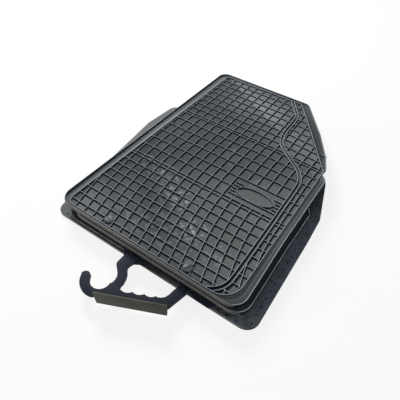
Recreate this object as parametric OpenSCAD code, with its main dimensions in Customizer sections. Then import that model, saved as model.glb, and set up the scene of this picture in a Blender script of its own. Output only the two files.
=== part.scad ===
// Rubber floor mat set on its carrying hanger: two front mats and two rear mats,
// one of each kind above and below the foot of a flat hook and grip.
// +X is across the mats, +Y runs from the hanger along the mats, +Z is up.
// The origin is under the middle of the whole stack, on the floor.

/* [Front mats] */
// Width of a front mat over its rim
front_w = 474; // [430:1:520]
// Length of a front mat over its rim
front_l = 718; // [650:1:780]
// Radius of the plain outer corners
front_corner_r = 34; // [20:1:45]
// Width lost at the far right corner
front_cut_w = 168; // [120:1:190]
// Length of the slanted edge along the mat
front_cut_l = 212; // [160:1:240]
// How far the notch steps in from the right rim
notch_in = 18; // [12:1:22]
// Length of the straight right edge before the notch
notch_at = 412; // [360:1:440]

/* [Lower rear mat] */
// Width of the lower rear mat at its front edge
rear_w = 505; // [470:1:540]
// Length of the lower rear mat
rear_l = 505; // [460:1:540]
// How far the left edge splays out at the far end
rear_splay = 40; // [0:1:60]
// Width lost on the right at the far end
rear_cut_w = 44; // [20:1:70]
// Length of the slanted right edge
rear_cut_l = 180; // [120:1:220]
// Radius of the lower rear mat's corners
rear_corner_r = 26; // [15:1:40]

/* [Upper rear mat] */
// Width of the upper rear mat at its front edge
upper_w = 434; // [400:1:450]
// Length of the upper rear mat
upper_l = 490; // [440:1:520]
// Width lost at the far right corner
upper_cut_w = 96; // [40:1:130]
// Length of the slanted right edge
upper_cut_l = 190; // [150:1:220]
// Radius of the upper rear mat's corners
upper_corner_r = 30; // [15:1:40]

/* [Mat section] */
// Thickness of the rubber sheet
sheet_t = 3; // [2.4:0.1:4]
// Height of the rim over the sheet
rim_h = 7; // [6:0.1:9]
// Width of the rim wall
rim_w = 5; // [4:0.1:8]
// Width of the flat terrace inside the rim
terrace_w = 20; // [14:1:24]
// Height of the ridge around the tread
ridge_h = 2.2; // [1:0.1:3]
// Width of the ridge around the tread
ridge_w = 3; // [2:0.1:5]
// Side of a square nib on the underside
nib_w = 3; // [2:0.1:4]
// Height of a nib
nib_h = 0.5; // [0.3:0.1:0.7]
// Spacing of the nibs
nib_pitch = 20; // [15:1:30]

/* [Tread] */
// Width of one tread rib
rib_w = 2.6; // [1.6:0.1:4]
// Height of one tread rib
rib_h = 1.5; // [1:0.1:2]
// Spacing of the lengthwise ribs
column_pitch = 26; // [20:0.5:32]
// Spacing of the crosswise ribs at the heel end
near_pitch = 25.5; // [20:0.5:30]
// Spacing of the crosswise ribs in the middle
mid_pitch = 36.5; // [30:0.5:42]
// Spacing of the crosswise ribs at the toe end
far_pitch = 27.5; // [22:0.5:32]
// Lean of the lengthwise ribs at the heel edge, degrees
rib_lean = 15; // [5:1:20]
// Width of the wavy channel over both its ridges
channel_w = 13; // [10:0.5:18]
// Long half of the blank oval
oval_a = 47; // [35:1:50]
// Short half of the blank oval
oval_b = 18; // [12:1:22]

/* [Floor fixings] */
// Diameter of a turn button cap
cap_d = 20; // [16:0.5:24]
// Height of the cap over the sheet
cap_h = 4; // [3:0.1:4.5]
// Diameter of the shank in the sheet
shank_d = 11; // [8:0.5:13]
// Width of the coin slot
slot_w = 2; // [1.2:0.1:3]
// Distance between the two fixings
fixing_pitch = 205; // [150:1:240]
// Distance of the fixings from the heel edge
fixing_in = 24; // [20:1:30]

/* [Hanger] */
// Thickness of the hook, the arms and the grip
hanger_t = 6; // [5:0.1:8]
// Thickness of the foot between the mats
foot_t = 4; // [3:0.1:5]
// Length of the foot
foot_l = 230; // [200:1:260]
// Depth of the foot between the mats
foot_d = 42; // [34:1:60]
// Slant of the grip against the foot, degrees
grip_slant = 24.4; // [18:0.1:28]
// Inner radius of the hook throat
throat_r = 20; // [16:0.5:23]
// Width of the hook
hook_w = 18; // [14:0.5:20]
// Length of the palm flange
palm_l = 138; // [134:1:145]
// Width of the palm flange
palm_w = 37; // [24:0.5:38]
// Thickness of the palm flange
palm_t = 4; // [3:0.1:5]
// Spacing of the finger scallops
finger_pitch = 22.6; // [20:0.1:23]
// Depth of one scallop
finger_depth = 3.6; // [2:0.1:5]

/* [Hidden] */
$fn = 96;
corner_steps = 8;   // straight pieces in one rounded corner

// clearances
lay_gap = 0.4;      // between a mat and what lies on it
turn_gap = 0.1;     // around a button shank
seat_gap = 0.3;     // under a button cap
trim_gap = 1;       // between tread pieces that don't touch

// heights of the stack, from the floor up
mat_h = sheet_t + rim_h;
lower_z = 0;
passenger_z = mat_h + nib_h + lay_gap;
foot_z = passenger_z + mat_h + lay_gap;
upper_z = foot_z + foot_t + lay_gap;
driver_z = upper_z + mat_h + lay_gap;
web_z = foot_z + foot_t / 2;

// front mat outline, counterclockwise from the heel corner on the left;
// the mats' field starts at x = 0
left_x = -22;
right_x = left_x + front_w;
heel_y = -4;
toe_y = heel_y + front_l;
near_taper = 6;
notch_l = 48;
front_pts = [[left_x + near_taper, heel_y], [right_x, heel_y], [right_x, heel_y + notch_at],
  [right_x - notch_in, heel_y + notch_at + notch_l * 0.6],
  [right_x - notch_in + 6, heel_y + notch_at + notch_l],
  [right_x - 36, toe_y - front_cut_l],
  [right_x - front_cut_w, toe_y], [left_x, toe_y]];
front_rad = [front_corner_r, front_corner_r, 7, 0, 9, 34, 24, front_corner_r - 6];

// ridge that frames the tread of a front mat
frame_in = 7;
frame_left = left_x + terrace_w + ridge_w;
frame_right = right_x - notch_in - rim_w - trim_gap / 2;
ridge_pts = [[frame_left, heel_y + frame_in], [frame_right, heel_y + frame_in],
  [frame_right, heel_y + notch_at + notch_l * 0.6],
  [right_x - front_cut_w - terrace_w, toe_y - frame_in], [frame_left, toe_y - frame_in]];
ridge_rad = [18, 52, 0, 6, 10];

// lower rear mat outline
rear_x = -23;
rear_y = heel_y - 4;
rear_pts = [[rear_x, rear_y], [rear_x + rear_w, rear_y],
  [rear_x + rear_w, rear_y + rear_l - rear_cut_l],
  [rear_x + rear_w - rear_cut_w, rear_y + rear_l], [rear_x - rear_splay, rear_y + rear_l]];
rear_rad = [rear_corner_r, rear_corner_r + 4, 20, rear_corner_r, rear_corner_r];

// upper rear mat outline, its right edge leaning out a little
upper_x = 20;
upper_y = heel_y - 3;
upper_lean = 6;
upper_pts = [[upper_x, upper_y], [upper_x + upper_w, upper_y],
  [upper_x + upper_w + upper_lean, upper_y + upper_l - upper_cut_l],
  [upper_x + upper_w + upper_lean - upper_cut_w, upper_y + upper_l], [upper_x, upper_y + upper_l]];
upper_rad = [upper_corner_r, upper_corner_r + 4, 8, upper_corner_r, upper_corner_r];

// hanger layout
throat_x = 192.6;
hook_out = throat_r + hook_w;
reach = 124;                        // from the heel edge to the lowest point of the hook
throat_y = heel_y - reach + hook_out;
flange_w0 = -hook_out;              // outer face of the palm flange in the grip's own frame
bar_w = 25;                         // grip from the palm face to the scallop crests
neck_u = 42;                        // where the finger hole starts along the grip
left_arm_x = 204;
left_arm_w = 26;
right_arm_x = 331;
right_arm_w = 20;
foot_x = 171;
flare_d = 19;                       // how far the foot's flares stand out
lip = 3;                            // foot lip in front of the mats
foot_front = upper_y - lip;

// whole stack in the middle of the frame
mid_x = (rear_x - rear_splay + rear_x + rear_w) / 2;
mid_y = (heel_y - reach + toe_y) / 2;

// geometry helpers
function along(a, b) = (b - a) / norm(b - a);
function prev(pts, i) = along(pts[i], pts[(i + len(pts) - 1) % len(pts)]);
function next(pts, i) = along(pts[i], pts[(i + 1) % len(pts)]);
function half(pts, i) = acos(prev(pts, i) * next(pts, i)) / 2;
function bulge(pts, i) = cross(next(pts, i), prev(pts, i)) > 0 ? 1 : -1;
function mid_dir(pts, i) = (prev(pts, i) + next(pts, i)) / norm(prev(pts, i) + next(pts, i));
function inset(pts, d) = [for (i = [0 : len(pts) - 1])
  pts[i] + mid_dir(pts, i) * bulge(pts, i) * d / sin(half(pts, i))];
function shrink(rad, d) = [for (r = rad) r == 0 ? 0 : max(r - d, 1)];
function bearing(v) = atan2(v[1], v[0]);
function arc(c, r, from, sweep) = [for (k = [0 : corner_steps])
  c + r * [cos(from + sweep * k / corner_steps), sin(from + sweep * k / corner_steps)]];
function round_off(pts, rad, i) = let (
    reach_in = rad[i] / tan(half(pts, i)),
    c = pts[i] + mid_dir(pts, i) * rad[i] / sin(half(pts, i)),
    from = bearing(pts[i] + prev(pts, i) * reach_in - c),
    to = bearing(pts[i] + next(pts, i) * reach_in - c))
  arc(c, rad[i], from, (to - from + 540) % 360 - 180);
function smooth(p) = [p[0], for (i = [0 : len(p) - 2]) each [p[i] * 0.75 + p[i + 1] * 0.25,
  p[i] * 0.25 + p[i + 1] * 0.75], p[len(p) - 1]];
function beside(p, i, d) = let (
    a = along(p[max(i - 1, 0)], p[max(i, 1)]),
    b = along(p[min(i, len(p) - 2)], p[min(i + 1, len(p) - 1)]),
    m = (a + b) / norm(a + b))
  p[i] + [-m[1], m[0]] * d / (m * a);

module place() {
  translate([-mid_x, -mid_y, 0]) children();
}

// rounded outline from corner points and corner radii
module outline(pts, rad) {
  polygon([for (i = [0 : len(pts) - 1]) each rad[i] > 0 ? round_off(pts, rad, i) : [pts[i]]]);
}

module inner_outline(pts, rad, d) {
  outline(inset(pts, d), shrink(rad, d));
}

module band(pts, rad, from, to) {
  difference() {
    inner_outline(pts, rad, from);
    inner_outline(pts, rad, to);
  }
}

module bar(a, b, w) {
  translate(a) rotate(atan2(b[1] - a[1], b[0] - a[0])) translate([0, -w / 2]) square([norm(b - a), w]);
}

// strip along a centre line, between two distances to its left
module strip(line, from, to) {
  n = len(line) - 1;
  polygon([for (i = [0 : n]) beside(line, i, from), for (i = [n : -1 : 0]) beside(line, i, to)]);
}

module at_fixing(side) {
  translate([left_x + front_w / 2 + side * fixing_pitch / 2, heel_y + fixing_in]) children();
}

// a mat's own frame has its underside at z = 0; turned mats lie on their rim
module flat_mat(z) {
  translate([0, 0, z]) children();
}

module turned_mat(z) {
  translate([0, 0, z + mat_h]) mirror([0, 0, 1]) children();
}

// front mat parts
module front_field() {
  inner_outline(ridge_pts, ridge_rad, ridge_w);
}

wave_x = frame_right - 27;
wave = smooth(smooth([[wave_x - 168.5, toe_y], [wave_x - 129.5, 640], [wave_x - 114.5, 608],
  [wave_x - 113.5, 537], [wave_x - 104.5, 498], [wave_x - 83.5, 448], [wave_x - 40.5, 417],
  [wave_x - 14.5, 388], [wave_x, 345], [wave_x, 52], [wave_x - 6, 26], [wave_x - 22, 8],
  [wave_x - 46, heel_y]]));

badge_x = wave_x - 66.5;
badge_y = 265;
badge_w = 118;
badge_l = 64;

module badge_box(gap) {
  translate([badge_x - badge_w / 2 - gap, badge_y - badge_l / 2 - gap])
    square([badge_w + 2 * gap, badge_l + 2 * gap]);
}

module oval(a, b) {
  polygon([for (i = [0 : 47]) [badge_x + a * cos(i * 7.5), badge_y + b * sin(i * 7.5)]]);
}

near_rows = 8;
mid_rows = 6;
far_rows = 10;
pair_gap = 10;
near_y = 15;
mid_y0 = near_y + (near_rows - 1) * near_pitch + pair_gap + near_pitch;
far_y0 = mid_y0 + (mid_rows - 1) * mid_pitch + pair_gap + mid_pitch;
columns = 17;
bend_y = 332;
bend_r = bend_y / sin(rib_lean);

module rows() {
  for (i = [0 : near_rows - 1]) translate([left_x, near_y + i * near_pitch]) square([front_w, rib_w]);
  for (i = [0 : mid_rows - 1]) translate([left_x, mid_y0 + i * mid_pitch]) square([front_w, rib_w]);
  for (i = [0 : far_rows - 1]) translate([left_x, far_y0 + i * far_pitch]) square([front_w, rib_w]);
  translate([left_x, mid_y0 - pair_gap]) square([front_w, rib_w]);
  translate([left_x, far_y0 - pair_gap]) square([front_w, rib_w]);
}

// lengthwise ribs run straight at the toe end and bend towards the right at the heel end
module columns() {
  for (i = [0 : columns - 1])
    translate([15 + i * column_pitch, bend_y]) square([rib_w, toe_y - bend_y]);
  intersection() {
    translate([left_x - 60, heel_y]) square([front_w + 90, bend_y - heel_y]);
    union() for (i = [-2 : columns - 1])
      translate([15 + i * column_pitch + bend_r, bend_y]) difference() {
        circle(r = bend_r, $fn = 200);
        circle(r = bend_r - rib_w, $fn = 200);
      }
  }
}

module sheet(pts, rad) {
  linear_extrude(sheet_t) outline(pts, rad);
}

module rim(pts, rad) {
  translate([0, 0, sheet_t]) linear_extrude(rim_h) band(pts, rad, 0, rim_w);
}

module frame_ridge(pts, rad) {
  translate([0, 0, sheet_t]) linear_extrude(ridge_h) band(pts, rad, 0, ridge_w);
}

module driver_sheet() {
  color([0.25, 0.27, 0.29]) flat_mat(driver_z) difference() {
    sheet(front_pts, front_rad);
    for (side = [-1, 1]) translate([0, 0, -1]) linear_extrude(sheet_t + 2)
      at_fixing(side) circle(d = shank_d + 2 * turn_gap);
  }
}

module driver_rim() {
  color([0.32, 0.34, 0.36]) flat_mat(driver_z) rim(front_pts, front_rad);
}

module driver_ridge() {
  color([0.42, 0.45, 0.47]) flat_mat(driver_z) frame_ridge(ridge_pts, ridge_rad);
}

ring_t = 2.4;
ring_h = 2;

module driver_tread() {
  color([0.40, 0.43, 0.45]) flat_mat(driver_z) translate([0, 0, sheet_t]) linear_extrude(rib_h) difference() {
    intersection() {
      inner_outline(ridge_pts, ridge_rad, ridge_w + trim_gap / 10);
      union() {
        rows();
        columns();
      }
    }
    strip(wave, -(channel_w + trim_gap) / 2, (channel_w + trim_gap) / 2);
    badge_box(trim_gap / 2);
    for (side = [-1, 1]) at_fixing(side) circle(d = cap_d + 2 * ring_t + 2 * seat_gap + trim_gap);
  }
}

module driver_channel() {
  color([0.47, 0.50, 0.52]) flat_mat(driver_z) translate([0, 0, sheet_t])
    linear_extrude(ridge_h) intersection() {
    inner_outline(ridge_pts, ridge_rad, ridge_w + trim_gap / 10);
    union() {
      strip(wave, -channel_w / 2, ridge_w - channel_w / 2);
      strip(wave, channel_w / 2 - ridge_w, channel_w / 2);
    }
  }
}

badge_lines = 8;

module driver_badge() {
  line_w = badge_l / (2 * badge_lines - 1);
  color([0.36, 0.39, 0.41]) flat_mat(driver_z) translate([0, 0, sheet_t]) linear_extrude(rib_h) {
    difference() {
      for (i = [0 : badge_lines - 1])
        translate([badge_x - badge_w / 2, badge_y - badge_l / 2 + 2 * i * line_w]) square([badge_w, line_w]);
      oval(oval_a, oval_b);
    }
    difference() {
      oval(oval_a + 1, oval_b + 1);
      oval(oval_a - rib_w, oval_b - rib_w);
    }
  }
}

module driver_fixing_rings() {
  color([0.38, 0.41, 0.43]) flat_mat(driver_z) translate([0, 0, sheet_t]) linear_extrude(ring_h)
    for (side = [-1, 1]) at_fixing(side) difference() {
      circle(d = cap_d + 2 * ring_t + 2 * seat_gap);
      circle(d = cap_d + 2 * seat_gap);
    }
}

// cap with a coin slot, on a shank that turns in the sheet
module button(side, slot_turn) {
  slot_depth = 1.4;
  color([0.45, 0.47, 0.48]) flat_mat(driver_z) at_fixing(side) difference() {
    union() {
      translate([0, 0, seat_gap]) cylinder(d = shank_d, h = sheet_t + seat_gap);
      translate([0, 0, sheet_t + seat_gap]) cylinder(d = cap_d, h = cap_h - seat_gap - 1);
      translate([0, 0, sheet_t + cap_h - 1]) cylinder(d1 = cap_d, d2 = cap_d - 4, h = 1);
    }
    rotate(slot_turn) translate([-cap_d, -slot_w / 2, sheet_t + cap_h - slot_depth])
      cube([2 * cap_d, slot_w, slot_depth + 1]);
  }
}

module button_left() {
  button(-1, -58);
}

module button_right() {
  button(1, 28);
}

module passenger_sheet() {
  color([0.24, 0.26, 0.28]) turned_mat(passenger_z) sheet(front_pts, front_rad);
}

module passenger_rim() {
  color([0.30, 0.32, 0.34]) turned_mat(passenger_z) rim(front_pts, front_rad);
}

module passenger_ridge() {
  color([0.38, 0.40, 0.42]) turned_mat(passenger_z) frame_ridge(ridge_pts, ridge_rad);
}

module passenger_tread() {
  color([0.36, 0.38, 0.40]) turned_mat(passenger_z) translate([0, 0, sheet_t]) linear_extrude(rib_h)
    intersection() {
      inner_outline(ridge_pts, ridge_rad, ridge_w + trim_gap / 10);
      union() {
        rows();
        columns();
      }
    }
}

// rear mat parts, for an outline and its corner radii
rear_rows = 15;
rear_columns = 17;
rear_frame = 24;

module rear_ridge(pts, rad) {
  translate([0, 0, sheet_t]) linear_extrude(ridge_h) band(pts, rad, rear_frame, rear_frame + ridge_w);
}

module rear_tread(pts, rad) {
  left = min([for (p = pts) p[0]]);
  right = max([for (p = pts) p[0]]);
  front = pts[0][1];
  far = pts[3][1];
  row_pitch = (far - front - 2 * rear_frame) / rear_rows;
  col_pitch = (right - left - 2 * rear_frame) / rear_columns;
  translate([0, 0, sheet_t]) linear_extrude(rib_h) intersection() {
    inner_outline(pts, rad, rear_frame + ridge_w + trim_gap / 10);
    union() {
      for (i = [1 : rear_rows - 1])
        translate([left, front + rear_frame + i * row_pitch]) square([right - left, rib_w]);
      for (i = [1 : rear_columns - 1])
        translate([left + rear_frame + i * col_pitch, front]) square([rib_w, far - front]);
    }
  }
}

module rear_upper_sheet() {
  color([0.22, 0.24, 0.26]) flat_mat(upper_z) sheet(upper_pts, upper_rad);
}

module rear_upper_rim() {
  color([0.30, 0.32, 0.34]) flat_mat(upper_z) rim(upper_pts, upper_rad);
}

module rear_upper_ridge() {
  color([0.36, 0.38, 0.40]) flat_mat(upper_z) rear_ridge(upper_pts, upper_rad);
}

module rear_upper_tread() {
  color([0.34, 0.36, 0.38]) flat_mat(upper_z) rear_tread(upper_pts, upper_rad);
}

module rear_lower_sheet() {
  color([0.22, 0.24, 0.26]) turned_mat(lower_z) sheet(rear_pts, rear_rad);
}

module rear_lower_rim() {
  color([0.28, 0.30, 0.32]) turned_mat(lower_z) rim(rear_pts, rear_rad);
}

module rear_lower_ridge() {
  color([0.36, 0.38, 0.40]) turned_mat(lower_z) rear_ridge(rear_pts, rear_rad);
}

module rear_lower_tread() {
  color([0.34, 0.36, 0.38]) turned_mat(lower_z) rear_tread(rear_pts, rear_rad);
}

// square nibs in a row along the right and heel edges of the underside
module rear_lower_nibs() {
  nib_in = 12;
  color([0.18, 0.20, 0.22]) translate([0, 0, lower_z + mat_h]) linear_extrude(nib_h) {
    for (i = [1 : floor((rear_l - rear_cut_l) / nib_pitch)])
      translate([rear_x + rear_w - nib_in, rear_y + i * nib_pitch]) square(nib_w, center = true);
    for (i = [1 : floor(rear_w / nib_pitch) - 1])
      translate([rear_x + i * nib_pitch, rear_y + nib_in]) square(nib_w, center = true);
  }
}

// hanger parts
module plate(t) {
  translate([0, 0, web_z - t / 2]) linear_extrude(t) children();
}

// the grip's own frame starts at the hook throat and runs along the palm flange
module grip_frame() {
  translate([throat_x, throat_y]) rotate(grip_slant) children();
}

module hanger_foot() {
  tab_w = 26;
  color([0.20, 0.23, 0.28]) plate(foot_t) {
    translate([foot_x, foot_front]) square([foot_l, foot_d + lip]);
    difference() {
      polygon([[foot_x, foot_front], [foot_x + 20, foot_front - flare_d],
        [foot_x + 46, foot_front - flare_d], [foot_x + 80, foot_front]]);
      left_arm_2d();
    }
    translate([foot_x + foot_l, foot_front]) polygon([[0, 0], [-tab_w, 0], [-tab_w + 9, -9], [-9, -9]]);
  }
}

module hanger_foot_ribs() {
  count = 7;
  rib = 2.5;
  proud = 1.2;
  color([0.24, 0.27, 0.32]) translate([0, 0, foot_z + foot_t]) linear_extrude(proud)
    for (i = [1 : count])
      translate([foot_x + i * foot_l / (count + 1), foot_front]) square([rib, lip - lay_gap]);
}

// bent arm from the foot down past the throat to the grip
arm_knee = 40;      // from the heel edge to the bend
neck_l = 84;        // from the heel edge to the grip
module left_arm_2d() {
  translate([left_arm_x, heel_y]) difference() {
    outline([[-left_arm_w / 2, foot_front - heel_y], [-left_arm_w / 2, -arm_knee - 5], [5.5, -neck_l + 20], [7.5, -neck_l],
      [27.5, -neck_l], [25.5, -arm_knee - 16], [left_arm_w / 2, -arm_knee + 1], [left_arm_w / 2, foot_front - heel_y]],
      [0, 14, 10, 0, 0, 16, 10, 0]);
    translate([throat_x - left_arm_x, throat_y - heel_y]) circle(r = throat_r);
    translate([-left_arm_x, -heel_y]) grip_frame() translate([-palm_l, flange_w0 - bar_w])
      square([3 * palm_l, 2 * bar_w]);
  }
}

module right_arm_2d() {
  intersection() {
    bar([right_arm_x - 7, throat_y], [right_arm_x + 3, heel_y + 10], right_arm_w);
    translate([0, throat_y]) square([front_w, foot_front - throat_y]);
    grip_frame() translate([0, flange_w0 + palm_t]) square([2 * palm_l, palm_l]);
  }
}

module grip_2d() {
  scallop_r = (pow(finger_pitch / 2, 2) + pow(finger_depth, 2)) / (2 * finger_depth);
  difference() {
    grip_frame() difference() {
      translate([0, flange_w0 + palm_t]) square([palm_l + 12, bar_w - palm_t]);
      circle(r = throat_r);
      for (i = [0 : 3])
        translate([neck_u + 2 + (i + 0.5) * finger_pitch, flange_w0 + bar_w - finger_depth + scallop_r])
          circle(r = scallop_r);
    }
    bar([right_arm_x - 7, throat_y], [right_arm_x + 3, heel_y + 10], right_arm_w);
    bar([right_arm_x - 7 + right_arm_w, throat_y], [right_arm_x + 3 + right_arm_w, heel_y + 10],
      right_arm_w + 4);
  }
}

module hanger_left_arm() {
  color([0.23, 0.26, 0.31]) plate(hanger_t) left_arm_2d();
}

module hanger_right_arm() {
  color([0.23, 0.26, 0.31]) plate(hanger_t) right_arm_2d();
}

module hanger_grip() {
  color([0.25, 0.28, 0.33]) plate(hanger_t) grip_2d();
}

// wide strip for the palm, upright on the grip's outer edge, with one slanted end
module hanger_palm_flange() {
  end_slant = 7;
  color([0.44, 0.43, 0.38]) translate([0, 0, web_z]) grip_frame()
    translate([0, flange_w0 + palm_t, 0]) rotate([90, 0, 0]) linear_extrude(palm_t)
      polygon([[0, palm_w / 2], [end_slant, -palm_w / 2], [palm_l, -palm_w / 2], [palm_l, palm_w / 2]]);
}

module hanger_hook() {
  tip_w = 15;
  color([0.22, 0.25, 0.30]) plate(hanger_t) grip_frame() {
    difference() {
      intersection() {
        circle(r = hook_out);
        translate([-hook_out, -hook_out]) square([hook_out, hook_out]);
      }
      circle(r = throat_r);
    }
    translate([-throat_r - tip_w - 0.5, 0]) square([tip_w, 4]);
    translate([-throat_r - tip_w / 2 - 0.5, 4]) circle(d = tip_w);
  }
}

place() driver_sheet();
place() driver_rim();
place() driver_ridge();
place() driver_tread();
place() driver_channel();
place() driver_badge();
place() driver_fixing_rings();
place() button_left();
place() button_right();
place() passenger_sheet();
place() passenger_rim();
place() passenger_ridge();
place() passenger_tread();
place() hanger_foot();
place() hanger_foot_ribs();
place() hanger_left_arm();
place() hanger_right_arm();
place() hanger_grip();
place() hanger_palm_flange();
place() hanger_hook();
place() rear_upper_sheet();
place() rear_upper_rim();
place() rear_upper_ridge();
place() rear_upper_tread();
place() rear_lower_sheet();
place() rear_lower_rim();
place() rear_lower_ridge();
place() rear_lower_tread();
place() rear_lower_nibs();
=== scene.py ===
import math

import bmesh
import bpy
from mathutils import Matrix, Vector


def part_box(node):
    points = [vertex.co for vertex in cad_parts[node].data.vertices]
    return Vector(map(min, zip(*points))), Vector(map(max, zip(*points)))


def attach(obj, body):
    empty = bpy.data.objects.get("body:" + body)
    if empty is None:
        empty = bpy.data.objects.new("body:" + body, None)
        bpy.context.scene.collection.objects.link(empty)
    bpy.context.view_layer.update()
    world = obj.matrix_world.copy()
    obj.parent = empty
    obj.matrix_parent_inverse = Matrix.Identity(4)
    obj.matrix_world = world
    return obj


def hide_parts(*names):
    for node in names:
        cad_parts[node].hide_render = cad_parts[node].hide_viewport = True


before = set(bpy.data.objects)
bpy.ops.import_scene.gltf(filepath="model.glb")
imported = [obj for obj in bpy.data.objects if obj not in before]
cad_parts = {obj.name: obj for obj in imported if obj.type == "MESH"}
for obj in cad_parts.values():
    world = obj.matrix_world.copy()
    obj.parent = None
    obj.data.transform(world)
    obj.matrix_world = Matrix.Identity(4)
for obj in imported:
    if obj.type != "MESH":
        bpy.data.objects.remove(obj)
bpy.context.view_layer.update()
mm = 0.001

# the plan's zero lies just inside the driver's rim, at the heel's left corner
planInset = {"x": 22, "y": 4}
rimLow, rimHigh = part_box("driver_rim")
planX = rimLow.x + planInset["x"] * mm
planY = rimLow.y + planInset["y"] * mm
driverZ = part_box("driver_sheet")[0].z
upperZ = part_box("rear_upper_sheet")[0].z
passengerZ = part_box("passenger_sheet")[1].z     # turned mats hang down from their sheet
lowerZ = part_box("rear_lower_sheet")[1].z
webZ = (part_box("hanger_grip")[0].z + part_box("hanger_grip")[1].z) / 2


def toFrame(x, y, z, baseZ, turned=False):
    return (planX + x * mm, planY + y * mm, baseZ - z * mm if turned else baseZ + z * mm)


def newMaterial(name, baseColor, roughness):
    material = bpy.data.materials.new(name)
    material.use_nodes = True
    shader = material.node_tree.nodes["Principled BSDF"]
    shader.inputs["Base Color"].default_value = (*baseColor, 1)
    shader.inputs["Roughness"].default_value = roughness
    return material, material.node_tree, shader


def noiseNode(tree, where, scale, detail=3.0, rough=0.5):
    node = tree.nodes.new("ShaderNodeTexNoise")
    node.inputs["Scale"].default_value = scale
    node.inputs["Detail"].default_value = detail
    node.inputs["Roughness"].default_value = rough
    tree.links.new(where, node.inputs["Vector"])
    return node.outputs["Fac"]


def spread(tree, value, low, high, toLow=0.0, toHigh=1.0):
    node = tree.nodes.new("ShaderNodeMapRange")
    node.inputs["From Min"].default_value = low
    node.inputs["From Max"].default_value = high
    node.inputs["To Min"].default_value = toLow
    node.inputs["To Max"].default_value = toHigh
    tree.links.new(value, node.inputs["Value"])
    return node.outputs["Result"]


def mathNode(tree, kind, a, b):
    node = tree.nodes.new("ShaderNodeMath")
    node.operation = kind
    for socket, value in zip(node.inputs, (a, b)):
        if isinstance(value, (int, float)):
            socket.default_value = value
        else:
            tree.links.new(value, socket)
    return node.outputs[0]


def mixColor(tree, factor, a, b):
    node = tree.nodes.new("ShaderNodeMix")
    node.data_type = "RGBA"
    tree.links.new(factor, node.inputs["Factor"])
    for socket, value in ((node.inputs[6], a), (node.inputs[7], b)):
        if isinstance(value, tuple):
            socket.default_value = (*value, 1)
        else:
            tree.links.new(value, socket)
    return node.outputs[2]


def bumpNode(tree, height, strength, distance, after=None):
    node = tree.nodes.new("ShaderNodeBump")
    node.inputs["Strength"].default_value = strength
    node.inputs["Distance"].default_value = distance
    tree.links.new(height, node.inputs["Height"])
    if after is not None:
        tree.links.new(after, node.inputs["Normal"])
    return node.outputs["Normal"]


rubberLook = {
    "clean": (0.038, 0.043, 0.045),
    "dusty": (0.105, 0.115, 0.123),
    "smudge": (0.34, 0.37, 0.40),
    # crest: painted highlight on crests and rounded edges
    "crest": (0.25, 0.274, 0.305),
    # painted shade for walls that face right
    "shadedRightWall": (0.005, 0.007, 0.013),
    # painted light along the heel edge
    "litHeelEdge": (0.120, 0.118, 0.108),
    "shine": (0.03, 0.20),   # side walls, upper faces
    "roughness": (0.50, 0.62),
    "patchScale": 17.0,     # per metre, the dust patches
    "grainScale": 900.0,    # moulded grain
    "grainDepth": 0.00012,
    "unevenScale": 60.0,    # slow waves of the sheet
    "unevenDepth": 0.0006,
    "smudgeScale": 75.0,
    "flangeScale": 70.0,
    "litHeelBand": (1.0, 2.6),     # the painted light on the heel edge fades over this stretch
    "litFrontWallBand": (2, 8),         # and the painted light on the front walls over this one
}
# soft patches in plan: middle and half widths, and how much. Dust spots are dust; haze spots are dust haze
# and, in the far-left patch, painted sheen; darker spots darken the floor; flange spots are dust and, on the
# right flange, painted light
dustSpots = [(190, 155, 62, 46, 0.95), (271, 102, 46, 36, 0.95), (112, 204, 60, 42, 0.7),
             (58, 223, 50, 40, 0.45), (350, 80, 40, 30, 0.35), (210, 60, 200, 60, 0.28)]
# the first flange spot is painted light with dust mottling on the right flange, which lies in the stack's
# shade; the others are dust
flangeDustAndLightSpots = [(478, 160, 30, 330, 0.62), (360, -8, 190, 26, 0.50), (-30, 20, 60, 70, 0.10)]
darkerSpots = [(380, 560, 150, 170, 0.6), (250, 380, 200, 110, 0.25), (310, 60, 270, 160, 0.35)]
hazeAndSheenSpots = [(110, 640, 190, 120, 0.95), (40, 420, 150, 170, 0.30), (300, 640, 90, 90, 0.3),
             (20, 560, 80, 90, 0.40), (40, 60, 150, 90, 0.12)]


def spotMask(tree, parts, spots):
    # soft round patches at fixed places in plan
    total = None
    for x, y, rx, ry, amount in spots:
        dx = mathNode(tree, "SUBTRACT", parts.outputs["X"], planX + x * mm)
        dx = mathNode(tree, "DIVIDE", dx, rx * mm)
        dy = mathNode(tree, "SUBTRACT", parts.outputs["Y"], planY + y * mm)
        dy = mathNode(tree, "DIVIDE", dy, ry * mm)
        far = mathNode(tree, "ADD", mathNode(tree, "MULTIPLY", dx, dx), mathNode(tree, "MULTIPLY", dy, dy))
        one = spread(tree, far, 0.0, 1.0, amount, 0.0)
        total = one if total is None else mathNode(tree, "MAXIMUM", total, one)
    return total


def scaled(color, gain):
    return tuple(c * gain for c in color)


def upness(tree):
    # the surface's normal in parts, and how nearly level the surface is
    slope = tree.nodes.new("ShaderNodeSeparateXYZ")
    tree.links.new(tree.nodes.new("ShaderNodeNewGeometry").outputs["Normal"], slope.inputs[0])
    return slope, mathNode(tree, "ABSOLUTE", slope.outputs["Z"], 0.0)


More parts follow.
